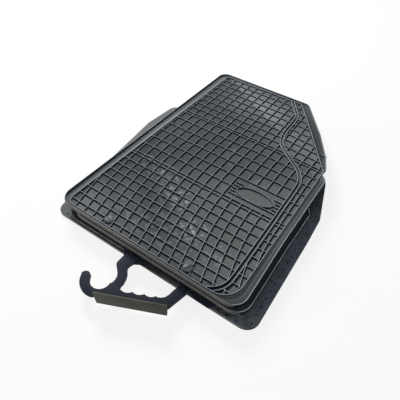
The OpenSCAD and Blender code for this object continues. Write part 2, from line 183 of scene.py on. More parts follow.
def rubberMaterial(name, side, highlightZ=None, spotted=False, gain=1.0, roughShift=0.0, dustBias=0.0,
                   flangeDustAndLight=False, highlightGain=1.0):
    # dark side walls as painted shade (front walls lighter as painted light), duller floors, lighter crests
    # and rounded edges as painted highlight
    look = rubberLook
    material, tree, shader = newMaterial(name, look["clean"], 0.5)
    where = tree.nodes.new("ShaderNodeTexCoord").outputs["Object"]
    parts = tree.nodes.new("ShaderNodeSeparateXYZ")
    tree.links.new(where, parts.inputs[0])
    patches = noiseNode(tree, where, look["patchScale"], 2.0, 0.6)
    specks = noiseNode(tree, where, look["patchScale"] * 9, 4.0, 0.7)
    smears = noiseNode(tree, where, look["patchScale"] * 0.28, 2.0, 0.5)
    grain = noiseNode(tree, where, look["grainScale"], 3.0, 0.6)
    dustAndSheen = mathNode(tree, "MULTIPLY", spread(tree, patches, 0.52 - dustBias, 0.76 - dustBias),
                    spread(tree, specks, 0.25, 0.75, 0.5, 1.0))
    hazeAndSheen = spread(tree, smears, 0.35, 0.65, 0.05, 0.35)
    if spotted:
        hazeAndSheen = mathNode(tree, "ADD", hazeAndSheen, spotMask(tree, parts, hazeAndSheenSpots))
    dustAndSheen = mathNode(tree, "MAXIMUM", dustAndSheen, hazeAndSheen)
    if spotted:
        dustAndSheen = mathNode(tree, "SUBTRACT", dustAndSheen, spotMask(tree, parts, darkerSpots))
    topColor = mixColor(tree, dustAndSheen, scaled(look["clean"], gain), scaled(look["dusty"], gain))
    if spotted:
        smudge = spread(tree, noiseNode(tree, where, look["smudgeScale"], 3.0, 0.6), 0.50, 0.66)
        smudge = mathNode(tree, "MULTIPLY", spotMask(tree, parts, dustSpots), smudge)
        topColor = mixColor(tree, smudge, topColor, look["smudge"])
    # dust on the flanges, and painted light on the right flange
    if flangeDustAndLight:
        smudge = noiseNode(tree, where, look["flangeScale"], 4.0, 0.65)
        smudge = spread(tree, smudge, 0.36, 0.60, 0.5, 1.0)
        smudge = mathNode(tree, "MULTIPLY", spotMask(tree, parts, flangeDustAndLightSpots), smudge)
        topColor = mixColor(tree, smudge, topColor, look["smudge"])
    slope, level = upness(tree)
    # painted highlight on rounded edges and, above the highlight height, on the rim crests
    rounded = mathNode(tree, "MULTIPLY", spread(tree, level, 0.40, 0.62),
                       spread(tree, level, 0.88, 0.97, 1.0, 0.0))
    crest = mathNode(tree, "MULTIPLY", rounded, 0.55 if highlightZ is None else 0.12)
    if highlightZ is not None:
        high = spread(tree, parts.outputs["Z"], highlightZ - 0.3 * mm, highlightZ)
        high = mathNode(tree, "MULTIPLY", high, spread(tree, level, 0.40, 0.62))
        crest = mathNode(tree, "MAXIMUM", crest, high)
    crest = mathNode(tree, "MULTIPLY", crest, spread(tree, specks, 0.3, 0.7, 0.75, 1.0))
    # painted shade: walls that face right turn near-black
    paintedWallColor = mixColor(tree, spread(tree, slope.outputs["X"], 0.15, 0.60), side, look["shadedRightWall"])
    # walls behind the front strip take the painted shade too, so only the front walls keep the painted light
    if highlightZ is not None:
        low, high = look["litFrontWallBand"]
        shadedBackWalls = spread(tree, parts.outputs["Y"], planY + low * mm, planY + high * mm)
        paintedWallColor = mixColor(tree, shadedBackWalls, paintedWallColor, look["shadedRightWall"])
    # steep faces take the painted wall colours, level faces the rubber's own colour
    color = mixColor(tree, spread(tree, level, 0.30, 0.80), paintedWallColor, topColor)
    color = mixColor(tree, crest, color, scaled(look["crest"], highlightGain))
    # painted light along the heel edge, mottled by the specks
    if highlightZ is not None:
        low, high = look["litHeelBand"]
        heel = spread(tree, parts.outputs["Y"], planY + low * mm, planY + high * mm, 0.85, 0.0)
        heel = mathNode(tree, "MULTIPLY", heel, spread(tree, specks, 0.2, 0.7, 0.7, 1.0))
        color = mixColor(tree, heel, color, look["litHeelEdge"])
    tree.links.new(color, shader.inputs["Base Color"])
    low, high = look["roughness"]
    rough = spread(tree, specks, 0.2, 0.8, low + roughShift, high + roughShift)
    tree.links.new(rough, shader.inputs["Roughness"])
    tree.links.new(spread(tree, level, 0.30, 0.80, *look["shine"]), shader.inputs["Specular IOR Level"])
    normal = bumpNode(tree, grain, 0.5, look["grainDepth"])
    uneven = noiseNode(tree, where, look["unevenScale"], 2.0, 0.5)
    normal = bumpNode(tree, uneven, 0.35, look["unevenDepth"], normal)
    tree.links.new(normal, shader.inputs["Normal"])
    return material


plasticLook = {
    "hanger": (0.022, 0.026, 0.036),
    # palm: a lighter, warmer copy of the hanger plastic, painted light on the flange's front face
    "palm": (0.076, 0.074, 0.062),
    "button": (0.088, 0.097, 0.103),
    # painted highlight on rounded edges that face right
    "edgeHighlight": (0.26, 0.28, 0.31),
}


def plasticMaterial(name, baseColor, roughLow, roughHigh, grainDepth, shine, shadedSidesLitEdges=False):
    material, tree, shader = newMaterial(name, baseColor, roughLow)
    where = tree.nodes.new("ShaderNodeTexCoord").outputs["Object"]
    cloud = noiseNode(tree, where, 22.0, 3.0, 0.55)
    fine = noiseNode(tree, where, 700.0, 4.0, 0.65)
    scuff = noiseNode(tree, where, 130.0, 5.0, 0.7)
    shade = spread(tree, cloud, 0.3, 0.7)
    color = mixColor(tree, shade, scaled(baseColor, 0.86), scaled(baseColor, 1.14))
    rubbed = spread(tree, scuff, 0.62, 0.80, 0.0, 0.35)
    color = mixColor(tree, rubbed, color, tuple(min(1.0, c * 1.7 + 0.01) for c in baseColor))
    if shadedSidesLitEdges:
        # painted shade on the side walls and a painted highlight on rounded edges that face right
        slope, level = upness(tree)
        color = mixColor(tree, spread(tree, level, 0.45, 0.95), scaled(baseColor, 0.18), color)
        edge = mathNode(tree, "MULTIPLY", spread(tree, level, 0.25, 0.5),
                        spread(tree, level, 0.85, 0.97, 1.0, 0.0))
        edge = mathNode(tree, "MULTIPLY", edge, spread(tree, slope.outputs["X"], 0.15, 0.45))
        color = mixColor(tree, edge, color, plasticLook["edgeHighlight"])
    tree.links.new(color, shader.inputs["Base Color"])
    tree.links.new(spread(tree, scuff, 0.3, 0.7, roughLow, roughHigh), shader.inputs["Roughness"])
    shader.inputs["Specular IOR Level"].default_value = shine
    normal = bumpNode(tree, fine, 0.5, grainDepth)
    normal = bumpNode(tree, cloud, 0.25, 0.0008, normal)
    tree.links.new(normal, shader.inputs["Normal"])
    return material


# painted colours of side walls: painted light on the rims' front walls, painted shade on the ribs' sides,
# painted light on the lowest mat's flange walls
paintedWallColors = {"wall": (0.105, 0.103, 0.092), "rib": (0.002, 0.003, 0.007), "edge": (0.24, 0.235, 0.21)}
highlightHeight = {"rim": 6.25, "rib": 5.8}   # above this height the rubber gets a painted highlight
rimHighlightZ, ribHighlightZ = highlightHeight["rim"] * mm, highlightHeight["rib"] * mm
matRubber = rubberMaterial("matRubber", paintedWallColors["wall"], driverZ + rimHighlightZ, True)
treadRubber = rubberMaterial("treadRubber", paintedWallColors["rib"], driverZ + ribHighlightZ, True, gain=1.2)
# this mat's rim crests get a stronger painted highlight, as they lie in the driver's mat's shade
upperRubber = rubberMaterial("upperRubber", paintedWallColors["wall"], upperZ + rimHighlightZ, highlightGain=2.4)
# a darker copy of the same rubber: painted shade for the passenger's mat and the rear mats' treads
shadedRubber = rubberMaterial("shadedRubber", paintedWallColors["rib"], gain=0.5)
lowerRubber = rubberMaterial("lowerRubber", paintedWallColors["edge"], flangeDustAndLight=True, gain=1.1, roughShift=0.05,
                             dustBias=0.07)
# darker still: painted shade on the nibs
shadedNibRubber = rubberMaterial("shadedNibRubber", paintedWallColors["rib"], gain=0.3)
hangerPlastic = plasticMaterial("hangerPlastic", plasticLook["hanger"], 0.46, 0.58, 0.00006, 0.05, True)
# painted light: the flange is the hanger's plastic, drawn lighter and warmer
palmLitPlastic = plasticMaterial("palmLitPlastic", plasticLook["palm"], 0.62, 0.74, 0.00008, 0.2)
buttonPlastic = plasticMaterial("buttonPlastic", plasticLook["button"], 0.44, 0.56, 0.00005, 0.25, True)
print("materials ready")


def clamped(value):
    return max(0.0, min(1.0, value))


def unit(dx, dy):
    length = math.hypot(dx, dy)
    return dx / length, dy / length


def roundedLoop(corners, radii, gaps, arcSteps=8):
    # closed loop with the same number of points whatever the corners' angles
    count = len(corners)
    arcs = []
    for i, (px, py) in enumerate(corners):
        ax, ay = unit(corners[i - 1][0] - px, corners[i - 1][1] - py)
        bx, by = unit(corners[(i + 1) % count][0] - px, corners[(i + 1) % count][1] - py)
        dot = max(-1.0, min(1.0, ax * bx + ay * by))
        half = math.acos(dot) / 2
        shares = [k / arcSteps for k in range(arcSteps + 1)]
        if half > math.radians(88):     # nearly straight: points spread along the line
            arcs.append([(px + bx * (k - 0.5) * 3, py + by * (k - 0.5) * 3) for k in shares])
            continue
        mx, my = unit(ax + bx, ay + by)
        r = radii[i]
        cx, cy = px + mx * r / math.sin(half), py + my * r / math.sin(half)
        reach = r / math.tan(half)
        start = math.atan2(py + ay * reach - cy, px + ax * reach - cx)
        end = math.atan2(py + by * reach - cy, px + bx * reach - cx)
        sweep = (end - start + 3 * math.pi) % (2 * math.pi) - math.pi
        angles = [start + sweep * k for k in shares]
        arcs.append([(cx + r * math.cos(a), cy + r * math.sin(a)) for a in angles])
    loop = []
    for i in range(count):
        loop += arcs[i]
        x0, y0 = arcs[i][-1]
        x1, y1 = arcs[(i + 1) % count][0]
        n = gaps[i]
        loop += [(x0 + (x1 - x0) * k / (n + 1), y0 + (y1 - y0) * k / (n + 1)) for k in range(1, n + 1)]
    return loop


def offsetLoop(loop, inward):
    # a counterclockwise loop moved inwards along its normals
    n = len(loop)
    moved = []
    for i, (x, y) in enumerate(loop):
        ax, ay = unit(x - loop[i - 1][0], y - loop[i - 1][1])
        bx, by = unit(loop[(i + 1) % n][0] - x, loop[(i + 1) % n][1] - y)
        mx, my = unit(ax + bx, ay + by)
        scale = 1 / max(0.5, mx * ax + my * ay)
        moved.append((x - my * inward * scale, y + mx * inward * scale))
    return moved


def blendLoops(a, b, share):
    return [(p[0] + (q[0] - p[0]) * share, p[1] + (q[1] - p[1]) * share) for p, q in zip(a, b)]


def insideLoop(x, y, loop):
    inside = False
    j = len(loop) - 1
    for i in range(len(loop)):
        xi, yi = loop[i]
        xj, yj = loop[j]
        if (yi > y) != (yj > y) and x < (xj - xi) * (y - yi) / (yj - yi) + xi:
            inside = not inside
        j = i
    return inside


def distanceToLine(x, y, line):
    best = 1e9
    for (x0, y0), (x1, y1) in zip(line, line[1:]):
        dx, dy = x1 - x0, y1 - y0
        t = clamped(((x - x0) * dx + (y - y0) * dy) / (dx * dx + dy * dy))
        best = min(best, math.hypot(x - x0 - t * dx, y - y0 - t * dy))
    return best


def smoothLine(line, rounds=2):
    for _ in range(rounds):
        cut = [line[0]]
        for (x0, y0), (x1, y1) in zip(line, line[1:]):
            cut += [(x0 * 0.75 + x1 * 0.25, y0 * 0.75 + y1 * 0.25),
                    (x0 * 0.25 + x1 * 0.75, y0 * 0.25 + y1 * 0.75)]
        line = cut + [line[-1]]
    return line


def sideLine(line, d):
    # the line moved to its left by d
    moved = []
    for i, (x, y) in enumerate(line):
        a = line[max(i - 1, 0)]
        b = line[min(i + 1, len(line) - 1)]
        tx, ty = unit(b[0] - a[0], b[1] - a[1])
        moved.append((x - ty * d, y + tx * d))
    return moved


def makeObject(name, mesh, material, body, slot, *nodes):
    thing = bpy.data.objects.new(name, mesh)
    bpy.context.scene.collection.objects.link(thing)
    thing.data.materials.append(material)
    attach(thing, body)
    if nodes:
        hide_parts(*nodes)


def finishMesh(name, bm, sharpAngle=38):
    bmesh.ops.recalc_face_normals(bm, faces=bm.faces)
    limit = math.radians(sharpAngle)
    for face in bm.faces:
        face.smooth = True
    for edge in bm.edges:
        edge.smooth = len(edge.link_faces) == 2 and edge.calc_face_angle(0) < limit
    mesh = bpy.data.meshes.new(name)
    bm.to_mesh(mesh)
    bm.free()
    return mesh


def shellMesh(name, rings, baseZ, turned):
    # rings run from the middle of the underside out, up and back in to the middle of the floor
    bm = bmesh.new()
    made = []
    for loop, z in rings:
        made.append([bm.verts.new(toFrame(x, y, z, baseZ, turned)) for x, y in loop])
    n = len(made[0])
    for a, b in zip(made, made[1:]):
        for i in range(n):
            bm.faces.new((a[i], a[(i + 1) % n], b[(i + 1) % n], b[i]))
    bm.faces.new(list(reversed(made[0])))
    bm.faces.new(made[-1])
    return finishMesh(name, bm)


def sweepRibs(bm, line, profile, floorZ, baseZ, turned, closed=False):
    # one rib along a line; the profile is pairs of sideways place and height
    n = len(line)
    sections = []
    for i, (x, y) in enumerate(line):
        a = line[i - 1] if closed or i > 0 else line[0]
        b = line[(i + 1) % n] if closed or i < n - 1 else line[-1]
        tx, ty = unit(b[0] - a[0], b[1] - a[1])
        section = []
        for s, h in profile:
            px, py = x - ty * s, y + tx * s
            section.append(bm.verts.new(toFrame(px, py, floorZ + h, baseZ, turned)))
        sections.append(section)
    pairs = list(zip(sections, sections[1:]))
    if closed:
        pairs.append((sections[-1], sections[0]))
    m = len(profile)
    for a, b in pairs:
        for k in range(m):
            bm.faces.new((a[k], b[k], b[(k + 1) % m], a[(k + 1) % m]))
    if not closed:
        bm.faces.new(sections[0])
        bm.faces.new(list(reversed(sections[-1])))


def keptRuns(line, keep, step=1.0):
    # the stretches of a line where keep(x, y) holds
    fine = []
    for (x0, y0), (x1, y1) in zip(line, line[1:]):
        n = max(1, int(math.hypot(x1 - x0, y1 - y0) / step))
        fine += [(x0 + (x1 - x0) * k / n, y0 + (y1 - y0) * k / n) for k in range(n)]
    fine.append(line[-1])
    runs, run = [], []
    for p in fine:
        if keep(*p):
            run.append(p)
        elif run:
            runs.append(run)
            run = []
    if run:
        runs.append(run)
    return [r for r in runs if len(r) > 3]


def thinned(run, spacing=14):
    picked = run[::spacing]
    if picked[-1] != run[-1]:
        picked.append(run[-1])
    return picked


# heights above a mat's underside; the flange starts higher on a turned mat
matSection = {"height": 10.0, "floor": 3.0, "terrace": 5.4, "flange": 2.3, "uprightFlange": 0.5}
frontMat = {
    "corners": [(-16, -4), (447, -4), (447, 180), (453, 411), (436, 437), (439, 458), (421, 504),
                (375, 587), (289, 714), (-22, 716)],
    "radii": [34, 34, 9, 9, 3, 14, 22, 9, 24, 28],
    "fieldCorners": [(1, 3.6), (426, 3.0), (430, 180), (434.5, 405), (435.5, 438), (434, 452),
                     (405, 497), (345, 592), (267, 708), (1, 708)],
    "fieldRadii": [20, 46, 9, 9, 3, 4, 9, 9, 8, 10],
    "gaps": [24, 10, 14, 2, 1, 3, 5, 7, 16, 36],
    **matSection,
}

# the passenger's mat starts a little further back
passengerHeel = {"rim": 5, "field": 12}
passengerMat = dict(frontMat, corners=[(x, max(y, passengerHeel["rim"])) for x, y in frontMat["corners"]],
                    fieldCorners=[(x, max(y, passengerHeel["field"])) for x, y in frontMat["fieldCorners"]])

rearUpperMat = {
    "corners": [(22, -7), (457, -7), (458, 180), (462, 296), (366, 483), (20, 483)],
    "radii": [34, 34, 9, 8, 30, 30],
    "gaps": [24, 10, 8, 12, 18, 24],
    "fieldIn": 16,
    **matSection,
}

rearLowerMat = {
    "corners": [(-24, -12), (250, -11), (482, -9), (485, 250), (484, 325), (440, 498), (-66, 500),
                (-74, 380)],
    "radii": [26, 9, 30, 9, 20, 70, 26, 9],
    "fieldCorners": [(2, -7), (250, -4), (467, 9), (470, 250), (469, 312), (427, 484), (-48, 486),
                     (-54, 380)],
    "fieldRadii": [36, 9, 28, 9, 20, 62, 22, 9],
    "gaps": [12, 12, 14, 5, 10, 26, 8, 22],
    **matSection,
}


def matShell(name, mat, baseZ, turned):
    # one closed rubber skin: underside plateau, flange, rounded rim, terrace, frame ridge and floor
    outer = roundedLoop(mat["corners"], mat["radii"], mat["gaps"])
    if "fieldCorners" in mat:
        field = roundedLoop(mat["fieldCorners"], mat["fieldRadii"], mat["gaps"])
    else:
        field = offsetLoop(outer, mat["fieldIn"])
    top, floor, terrace = mat["height"], mat["floor"], mat["terrace"]
    flange = mat["flange"] if turned else mat["uprightFlange"]
    rimFoot = offsetLoop(outer, 4.6)
    # steps inwards from the loop each part of the section follows, with their heights
    rings = [(offsetLoop(field, d), z) for d, z in (
        (2.2, 0.0), (1.2, 0.0), (0.4, 0.17 * flange), (0.0, 0.7 * flange), (-0.5, flange - 0.1))]
    rings += [(offsetLoop(outer, d), z) for d, z in (
        (3.2, flange), (1.2, flange + 0.1), (0.3, flange + 0.6), (0.0, flange + 1.5), (0.3, top - 1.4),
        (0.6, top - 0.5), (1.1, top - 0.1), (1.6, top), (2.1, top - 0.1), (2.6, top - 0.6), (3.0, top - 1.6),
        (3.9, terrace + 0.7), (4.6, terrace))]
    rings += [(blendLoops(rimFoot, field, share), z) for share, z in (
        (0.44, terrace), (0.50, terrace - 0.4), (0.62, terrace - 0.4), (0.68, terrace))]
    rings += [(offsetLoop(field, d), z) for d, z in (
        (-0.2, terrace), (0.2, terrace + 0.8), (0.8, terrace + 1.2), (1.6, terrace + 1.2),
        (2.2, terrace + 0.8), (2.6, terrace - 0.4), (2.8, floor + 0.3), (3.2, floor))]
    return shellMesh(name, rings, baseZ, turned), offsetLoop(field, 2.6)


tread = {
    "width": 2.25,
    "height": 3.4,
    "rowLower": 0.06,       # keeps the crossing crests from lying in one plane
    "channelWidth": 11.6,
    "channelRidge": 3.0,
    "channelHeight": 3.6,
    "columns": 17,
    "fixingReach": 12.3,    # no rib comes nearer to a fixing
    "stepLine": [(404, 509), (421, 506)],
    "stepWidth": 4.0,
    "stepHeight": 3.8,
}


def mirrored(half):
    # a rib's profile from its left half and its crest
    return half + [(-s, h) for s, h in reversed(half[:-1])]


def ridgeProfile(width, height):
    w = width / 2
    return mirrored([(-w - 0.3, -0.6), (-w, 0.3), (-w + 0.4, height - 0.7), (-w + 1.0, height - 0.1),
                     (0, height)])


halfRib, ribTop = tread["width"] / 2, tread["height"]
ribProfile = mirrored([(-halfRib - 0.2, -0.6), (-halfRib, 0.2), (-halfRib + 0.15, ribTop - 0.8),
                       (-halfRib + 0.55, ribTop - 0.2), (0, ribTop)])
rowProfile = [(s, h - tread["rowLower"]) for s, h in ribProfile]

# how far the rows lie from the heel
rowPlaces = [20.5, 43.2, 67.5, 91.5, 117, 142.5, 168, 193.5, 220.5, 230.5, 268, 304, 342, 378.5, 416,
             450, 460, 487, 514, 541, 568.5, 597, 625, 653, 680, 705]
badge = {
    "x": 335.4,
    "y": 266.5,
    "long": 46.0,       # half lengths of the oval
    "short": 19.6,
    "clearLong": 48,    # the lines stop outside this rounder oval
    "clearShort": 26,
    "left": 274.0,
    "low": 246.0,
    "high": 304.0,
    "lines": 5,
    "pitch": 9.9,
    "ridge": 2.6,
    "ridgeHeight": 3.2,
}


def columnLine(i, toeY=716, heelY=-4):
    # straight towards the toe, leaning outwards towards the heel
    last = i == tread["columns"] - 1
    bend = 190.0 if last else 332 - 0.6 * max(i, 0) ** 2
    reach = 24.0 if last else 39.5 - 0.87 * max(i, 0)
    line = []
    for y in range(toeY, heelY, -12):
        pitch = 25.95 + 0.35 * clamped((y - 380) / 110)
        x = 8.5 + i * pitch - (6.0 if last else 0.0)
        if y < bend:
            x += reach * ((bend - y) / (bend - 28)) ** 2
        line.append((x, y))
    return line


waveX = 402.5   # the straight stretch of the curved groove
waveLine = smoothLine([(228, 722), (262, 668), (284, 636), (286.5, 612), (286.5, 540), (292, 510), (304, 480),
                       (330, 457), (352, 438), (376, 420), (394, 394), (waveX - 1, 372), (waveX, 345),
                       (waveX, 52), (waveX - 5, 28), (waveX - 20, 9), (waveX - 46, -4)])
fixings = [(112.5, 20.0), (317.5, 20.0)]


def inBadgeBlock(x, y):
    return badge["left"] + 2 < x < waveX and badge["low"] - 14 < y < badge["high"] - 1


def nearOval(x, y):
    along, across = abs(x - badge["x"]) / badge["clearLong"], abs(y - badge["y"]) / badge["clearShort"]
    return along ** 3 + across ** 3 < 1


def nearFixing(x, y):
    return any(math.hypot(x - fx, y - fy) < tread["fixingReach"] for fx, fy in fixings)


def rowLine(y):
    # rows droop a little towards the cut-off corner
    droop = 0.075 * clamped((y - 360) / 120)
    return [(-24, y), (290, y), (455, y - 165 * droop)]


def frontTread(name, field, baseZ, turned, dressed):
    bm = bmesh.new()
    floor = frontMat["floor"]

    def keep(x, y):
        if not insideLoop(x, y, field):
            return False
        if not dressed:
            return True
        if inBadgeBlock(x, y) or nearFixing(x, y):
            return False
        return distanceToLine(x, y, waveLine) > tread["channelWidth"] / 2 - 1.2

    for y in rowPlaces:
        for run in keptRuns(rowLine(y), keep):
            sweepRibs(bm, thinned(run), rowProfile, floor, baseZ, turned)
    for i in range(-1, tread["columns"]):
        for run in keptRuns(columnLine(i), keep):
            sweepRibs(bm, thinned(run), ribProfile, floor, baseZ, turned)
    if dressed:   # the small step across the rim's terrace, beside the cut-off corner
        stepProfile = ridgeProfile(tread["stepWidth"], tread["stepHeight"])
        sweepRibs(bm, tread["stepLine"], stepProfile, frontMat["terrace"] - 0.2, baseZ, turned)
    return finishMesh(name, bm)


print("driver's mat")
skin, driverField = matShell("driverMatSkin", frontMat, driverZ, False)
makeObject("driverMatSkin", skin, matRubber, "driver_mat", "mat_rubber",
           "driver_sheet", "driver_rim", "driver_ridge")
makeObject("driverTread", frontTread("driverTread", driverField, driverZ, False, True), treadRubber,
           "driver_mat", "raised_rubber", "driver_tread")

bm = bmesh.new()
channelProfile = ridgeProfile(tread["channelRidge"], tread["channelHeight"])
for side in (-1, 1):
    line = sideLine(waveLine, side * (tread["channelWidth"] - tread["channelRidge"]) / 2)
    for run in keptRuns(line, lambda x, y: insideLoop(x, y, driverField)):
        sweepRibs(bm, thinned(run, 8), channelProfile, frontMat["floor"], driverZ, False)
makeObject("driverChannel", finishMesh("driverChannel", bm), treadRubber,
           "driver_mat", "raised_rubber", "driver_channel")

bm = bmesh.new()
for i in range(badge["lines"]):
    y = badge["low"] + i * badge["pitch"]
    line = [(badge["left"] + 1, y), (waveX - 5, y)]
    for run in keptRuns(line, lambda px, py: i == 0 or not nearOval(px, py)):
        sweepRibs(bm, [run[0], run[-1]], rowProfile, frontMat["floor"], driverZ, False)
ovalLine = [(badge["x"] + badge["long"] * math.cos(k * math.pi / 36),
             badge["y"] + badge["short"] * math.sin(k * math.pi / 36)) for k in range(72)]
ovalProfile = ridgeProfile(badge["ridge"], badge["ridgeHeight"])
sweepRibs(bm, ovalLine, ovalProfile, frontMat["floor"], driverZ, False, closed=True)
makeObject("driverBadge", finishMesh("driverBadge", bm), treadRubber,
           "driver_mat", "raised_rubber", "driver_badge")


def circleVerts(bm, cx, cy, r, h, baseZ, steps):
    angles = [2 * math.pi * k / steps for k in range(steps)]
    return [bm.verts.new(toFrame(cx + r * math.cos(a), cy + r * math.sin(a), h, baseZ)) for a in angles]


def latheMesh(bm, cx, cy, profile, baseZ, steps=48):
    # a closed turned profile: pairs of radius and height
    rings = []
    for r, h in profile:
        if r <= 0:
            rings.append([bm.verts.new(toFrame(cx, cy, h, baseZ))])
        else:
            rings.append(circleVerts(bm, cx, cy, r, h, baseZ, steps))
    for a, b in zip(rings, rings[1:]):
        for k in range(steps):
            j = (k + 1) % steps
            if len(a) == 1:
                bm.faces.new((a[0], b[k], b[j]))
            elif len(b) == 1:
                bm.faces.new((a[k], a[j], b[0]))
            else:
                bm.faces.new((a[k], a[j], b[j], b[k]))


def ringMesh(bm, cx, cy, section, baseZ, steps=48):
    # an open turned band whose section closes on itself
    rings = [circleVerts(bm, cx, cy, r, h, baseZ, steps) for r, h in section]
    for a, b in zip(rings, rings[1:] + rings[:1]):
        for k in range(steps):
            j = (k + 1) % steps
            bm.faces.new((a[k], a[j], b[j], b[k]))


fixingRing = {"in": 10.3, "out": 12.2, "foot": 2.6, "top": 4.0}
ringSection = [(fixingRing["in"], fixingRing["foot"]), (fixingRing["in"], 3.7), (10.6, fixingRing["top"]),
               (11.5, fixingRing["top"]), (12.0, 3.7), (fixingRing["out"], fixingRing["foot"])]
bm = bmesh.new()
for cx, cy in fixings:
    ringMesh(bm, cx, cy, ringSection, driverZ)
makeObject("driverFixingRings", finishMesh("driverFixingRings", bm), treadRubber,
           "driver_mat", "raised_rubber", "driver_fixing_rings")

button = {
    "slotWidth": 2.6,
    "slotDepth": 2.9,
    "slotLength": 15.0,
    "leftTurn": -27.5,
    "rightTurn": 61,
    "top": 6.9,
    "shank": 5.4,
    "cap": 9.8,
}


def buttonMesh(name, cx, cy):
    # a shank under a low domed cap
    shank, cap = button["shank"], button["cap"]
    bm = bmesh.new()
    profile = [(0, 0.4), (shank, 0.4), (shank, 3.3), (8.4, 3.3), (9.6, 3.9), (cap, 4.7), (9.5, 5.3),
               (8.2, 5.9), (6.0, 6.5), (3.0, 6.8), (0, button["top"])]
    latheMesh(bm, cx, cy, profile, driverZ)
    return finishMesh(name, bm)


squareSigns = ((-1, -1), (1, -1), (1, 1), (-1, 1))


def slotCutter(cx, cy, slotTurn):
    # a block from the slot's floor to well above the cap
    bm = bmesh.new()
    c, s = math.cos(math.radians(slotTurn)), math.sin(math.radians(slotTurn))
    corners = []
    for h in (button["top"] - button["slotDepth"], 9.0):
        for a, b in squareSigns:
            along, across = a * button["slotLength"] / 2, b * button["slotWidth"] / 2
            x, y = cx + along * c - across * s, cy + along * s + across * c
            corners.append(bm.verts.new(toFrame(x, y, h, driverZ)))
    for quad in ((3, 2, 1, 0), (4, 5, 6, 7), (0, 1, 5, 4), (1, 2, 6, 5), (2, 3, 7, 6), (3, 0, 4, 7)):
        bm.faces.new([corners[q] for q in quad])
    mesh = bpy.data.meshes.new("slotCutter")
    bm.to_mesh(mesh)
    bm.free()
    return mesh


def cutMesh(mesh, cutter):
    # takes the cutter out of the mesh and keeps the result as plain mesh
    a = bpy.data.objects.new("cutA", mesh)
    b = bpy.data.objects.new("cutB", cutter)
    for o in (a, b):
        bpy.context.scene.collection.objects.link(o)
    m = a.modifiers.new("cut", "BOOLEAN")
    m.operation = "DIFFERENCE"
    m.object = b
    m.solver = "EXACT"
    bpy.context.view_layer.update()
    made = bpy.data.meshes.new_from_object(a.evaluated_get(bpy.context.evaluated_depsgraph_get()))
    for o in (a, b):
        bpy.data.objects.remove(o)
    return made


for label, (cx, cy), slotTurn, body, node in (
        ("leftButton", fixings[0], button["leftTurn"], "left_button", "button_left"),
        ("rightButton", fixings[1], button["rightTurn"], "right_button", "button_right")):
    mesh = cutMesh(buttonMesh(label, cx, cy), slotCutter(cx, cy, slotTurn))
    mesh.name = label
    makeObject(label, mesh, buttonPlastic, body, "button_plastic", node)

print("other mats")
skin, passengerField = matShell("passengerMatSkin", passengerMat, passengerZ, True)
makeObject("passengerMatSkin", skin, shadedRubber, "passenger_mat", "mat_rubber",
           "passenger_sheet", "passenger_rim", "passenger_ridge")
makeObject("passengerTread", frontTread("passengerTread", passengerField, passengerZ, True, False),
           shadedRubber, "passenger_mat", "raised_rubber", "passenger_tread")


rearGrid = {"rows": 15, "columns": 17, "beyond": 5}   # cells across the field; lines start beyond it


def rearTread(name, mat, field, baseZ, turned):
    # a plain grid
    left, right = min(p[0] for p in field), max(p[0] for p in field)
    heel, toe = min(p[1] for p in field), max(p[1] for p in field)
    beyond = rearGrid["beyond"]
    lines = []
    for i in range(1, rearGrid["rows"]):
        y = heel + i * (toe - heel) / rearGrid["rows"]
        lines.append(([(left - beyond, y), (right + beyond, y)], rowProfile))
    for i in range(1, rearGrid["columns"]):
        x = left + i * (right - left) / rearGrid["columns"]
        lines.append(([(x, heel - beyond), (x, toe + beyond)], ribProfile))
    bm = bmesh.new()
    for line, profile in lines:
        for run in keptRuns(line, lambda x, y: insideLoop(x, y, field)):
            sweepRibs(bm, [run[0], run[-1]], profile, mat["floor"], baseZ, turned)
    return finishMesh(name, bm)


skin, upperField = matShell("rearUpperSkin", rearUpperMat, upperZ, False)
makeObject("rearUpperSkin", skin, upperRubber, "rear_upper_mat", "mat_rubber",
           "rear_upper_sheet", "rear_upper_rim", "rear_upper_ridge")
makeObject("rearUpperTread", rearTread("rearUpperTread", rearUpperMat, upperField, upperZ, False), shadedRubber,
           "rear_upper_mat", "raised_rubber", "rear_upper_tread")
skin, lowerField = matShell("rearLowerSkin", rearLowerMat, lowerZ, True)
makeObject("rearLowerSkin", skin, lowerRubber, "rear_lower_mat", "mat_rubber",
           "rear_lower_sheet", "rear_lower_rim", "rear_lower_ridge")
makeObject("rearLowerTread", rearTread("rearLowerTread", rearLowerMat, lowerField, lowerZ, True), shadedRubber,
           "rear_lower_mat", "raised_rubber", "rear_lower_tread")

nibs = {
    "pitch": 20.0,
    "size": 3.0,
    "height": 1.6,
    "foot": 2.6,            # height of their feet, inside the flange
    "rightRow": (470.5, 9, 17),     # place of the row, its first nib and how many
    "heelRow": (-3.5, 4, 23),
}
bm = bmesh.new()
rowX, firstY, sideCount = nibs["rightRow"]
rowY, firstX, heelCount = nibs["heelRow"]
spots = [(rowX, firstY + i * nibs["pitch"]) for i in range(sideCount)]
spots += [(firstX + i * nibs["pitch"], rowY) for i in range(heelCount)]
wide = nibs["size"] / 2
for x, y in spots:
    ends = []
    for half, h in ((wide, nibs["foot"]), (wide - 0.5, nibs["foot"] - nibs["height"])):
        places = [toFrame(x + a * half, y + b * half, h, lowerZ, True) for a, b in squareSigns]
        ends.append([bm.verts.new(place) for place in places])
    base, top = ends
    bm.faces.new(base)
    bm.faces.new(list(reversed(top)))
    for k in range(4):
        bm.faces.new((base[k], base[(k + 1) % 4], top[(k + 1) % 4], top[k]))
makeObject("rearLowerNibs", finishMesh("rearLowerNibs", bm, 30), shadedNibRubber,
           "rear_lower_mat", "raised_rubber", "rear_lower_nibs")


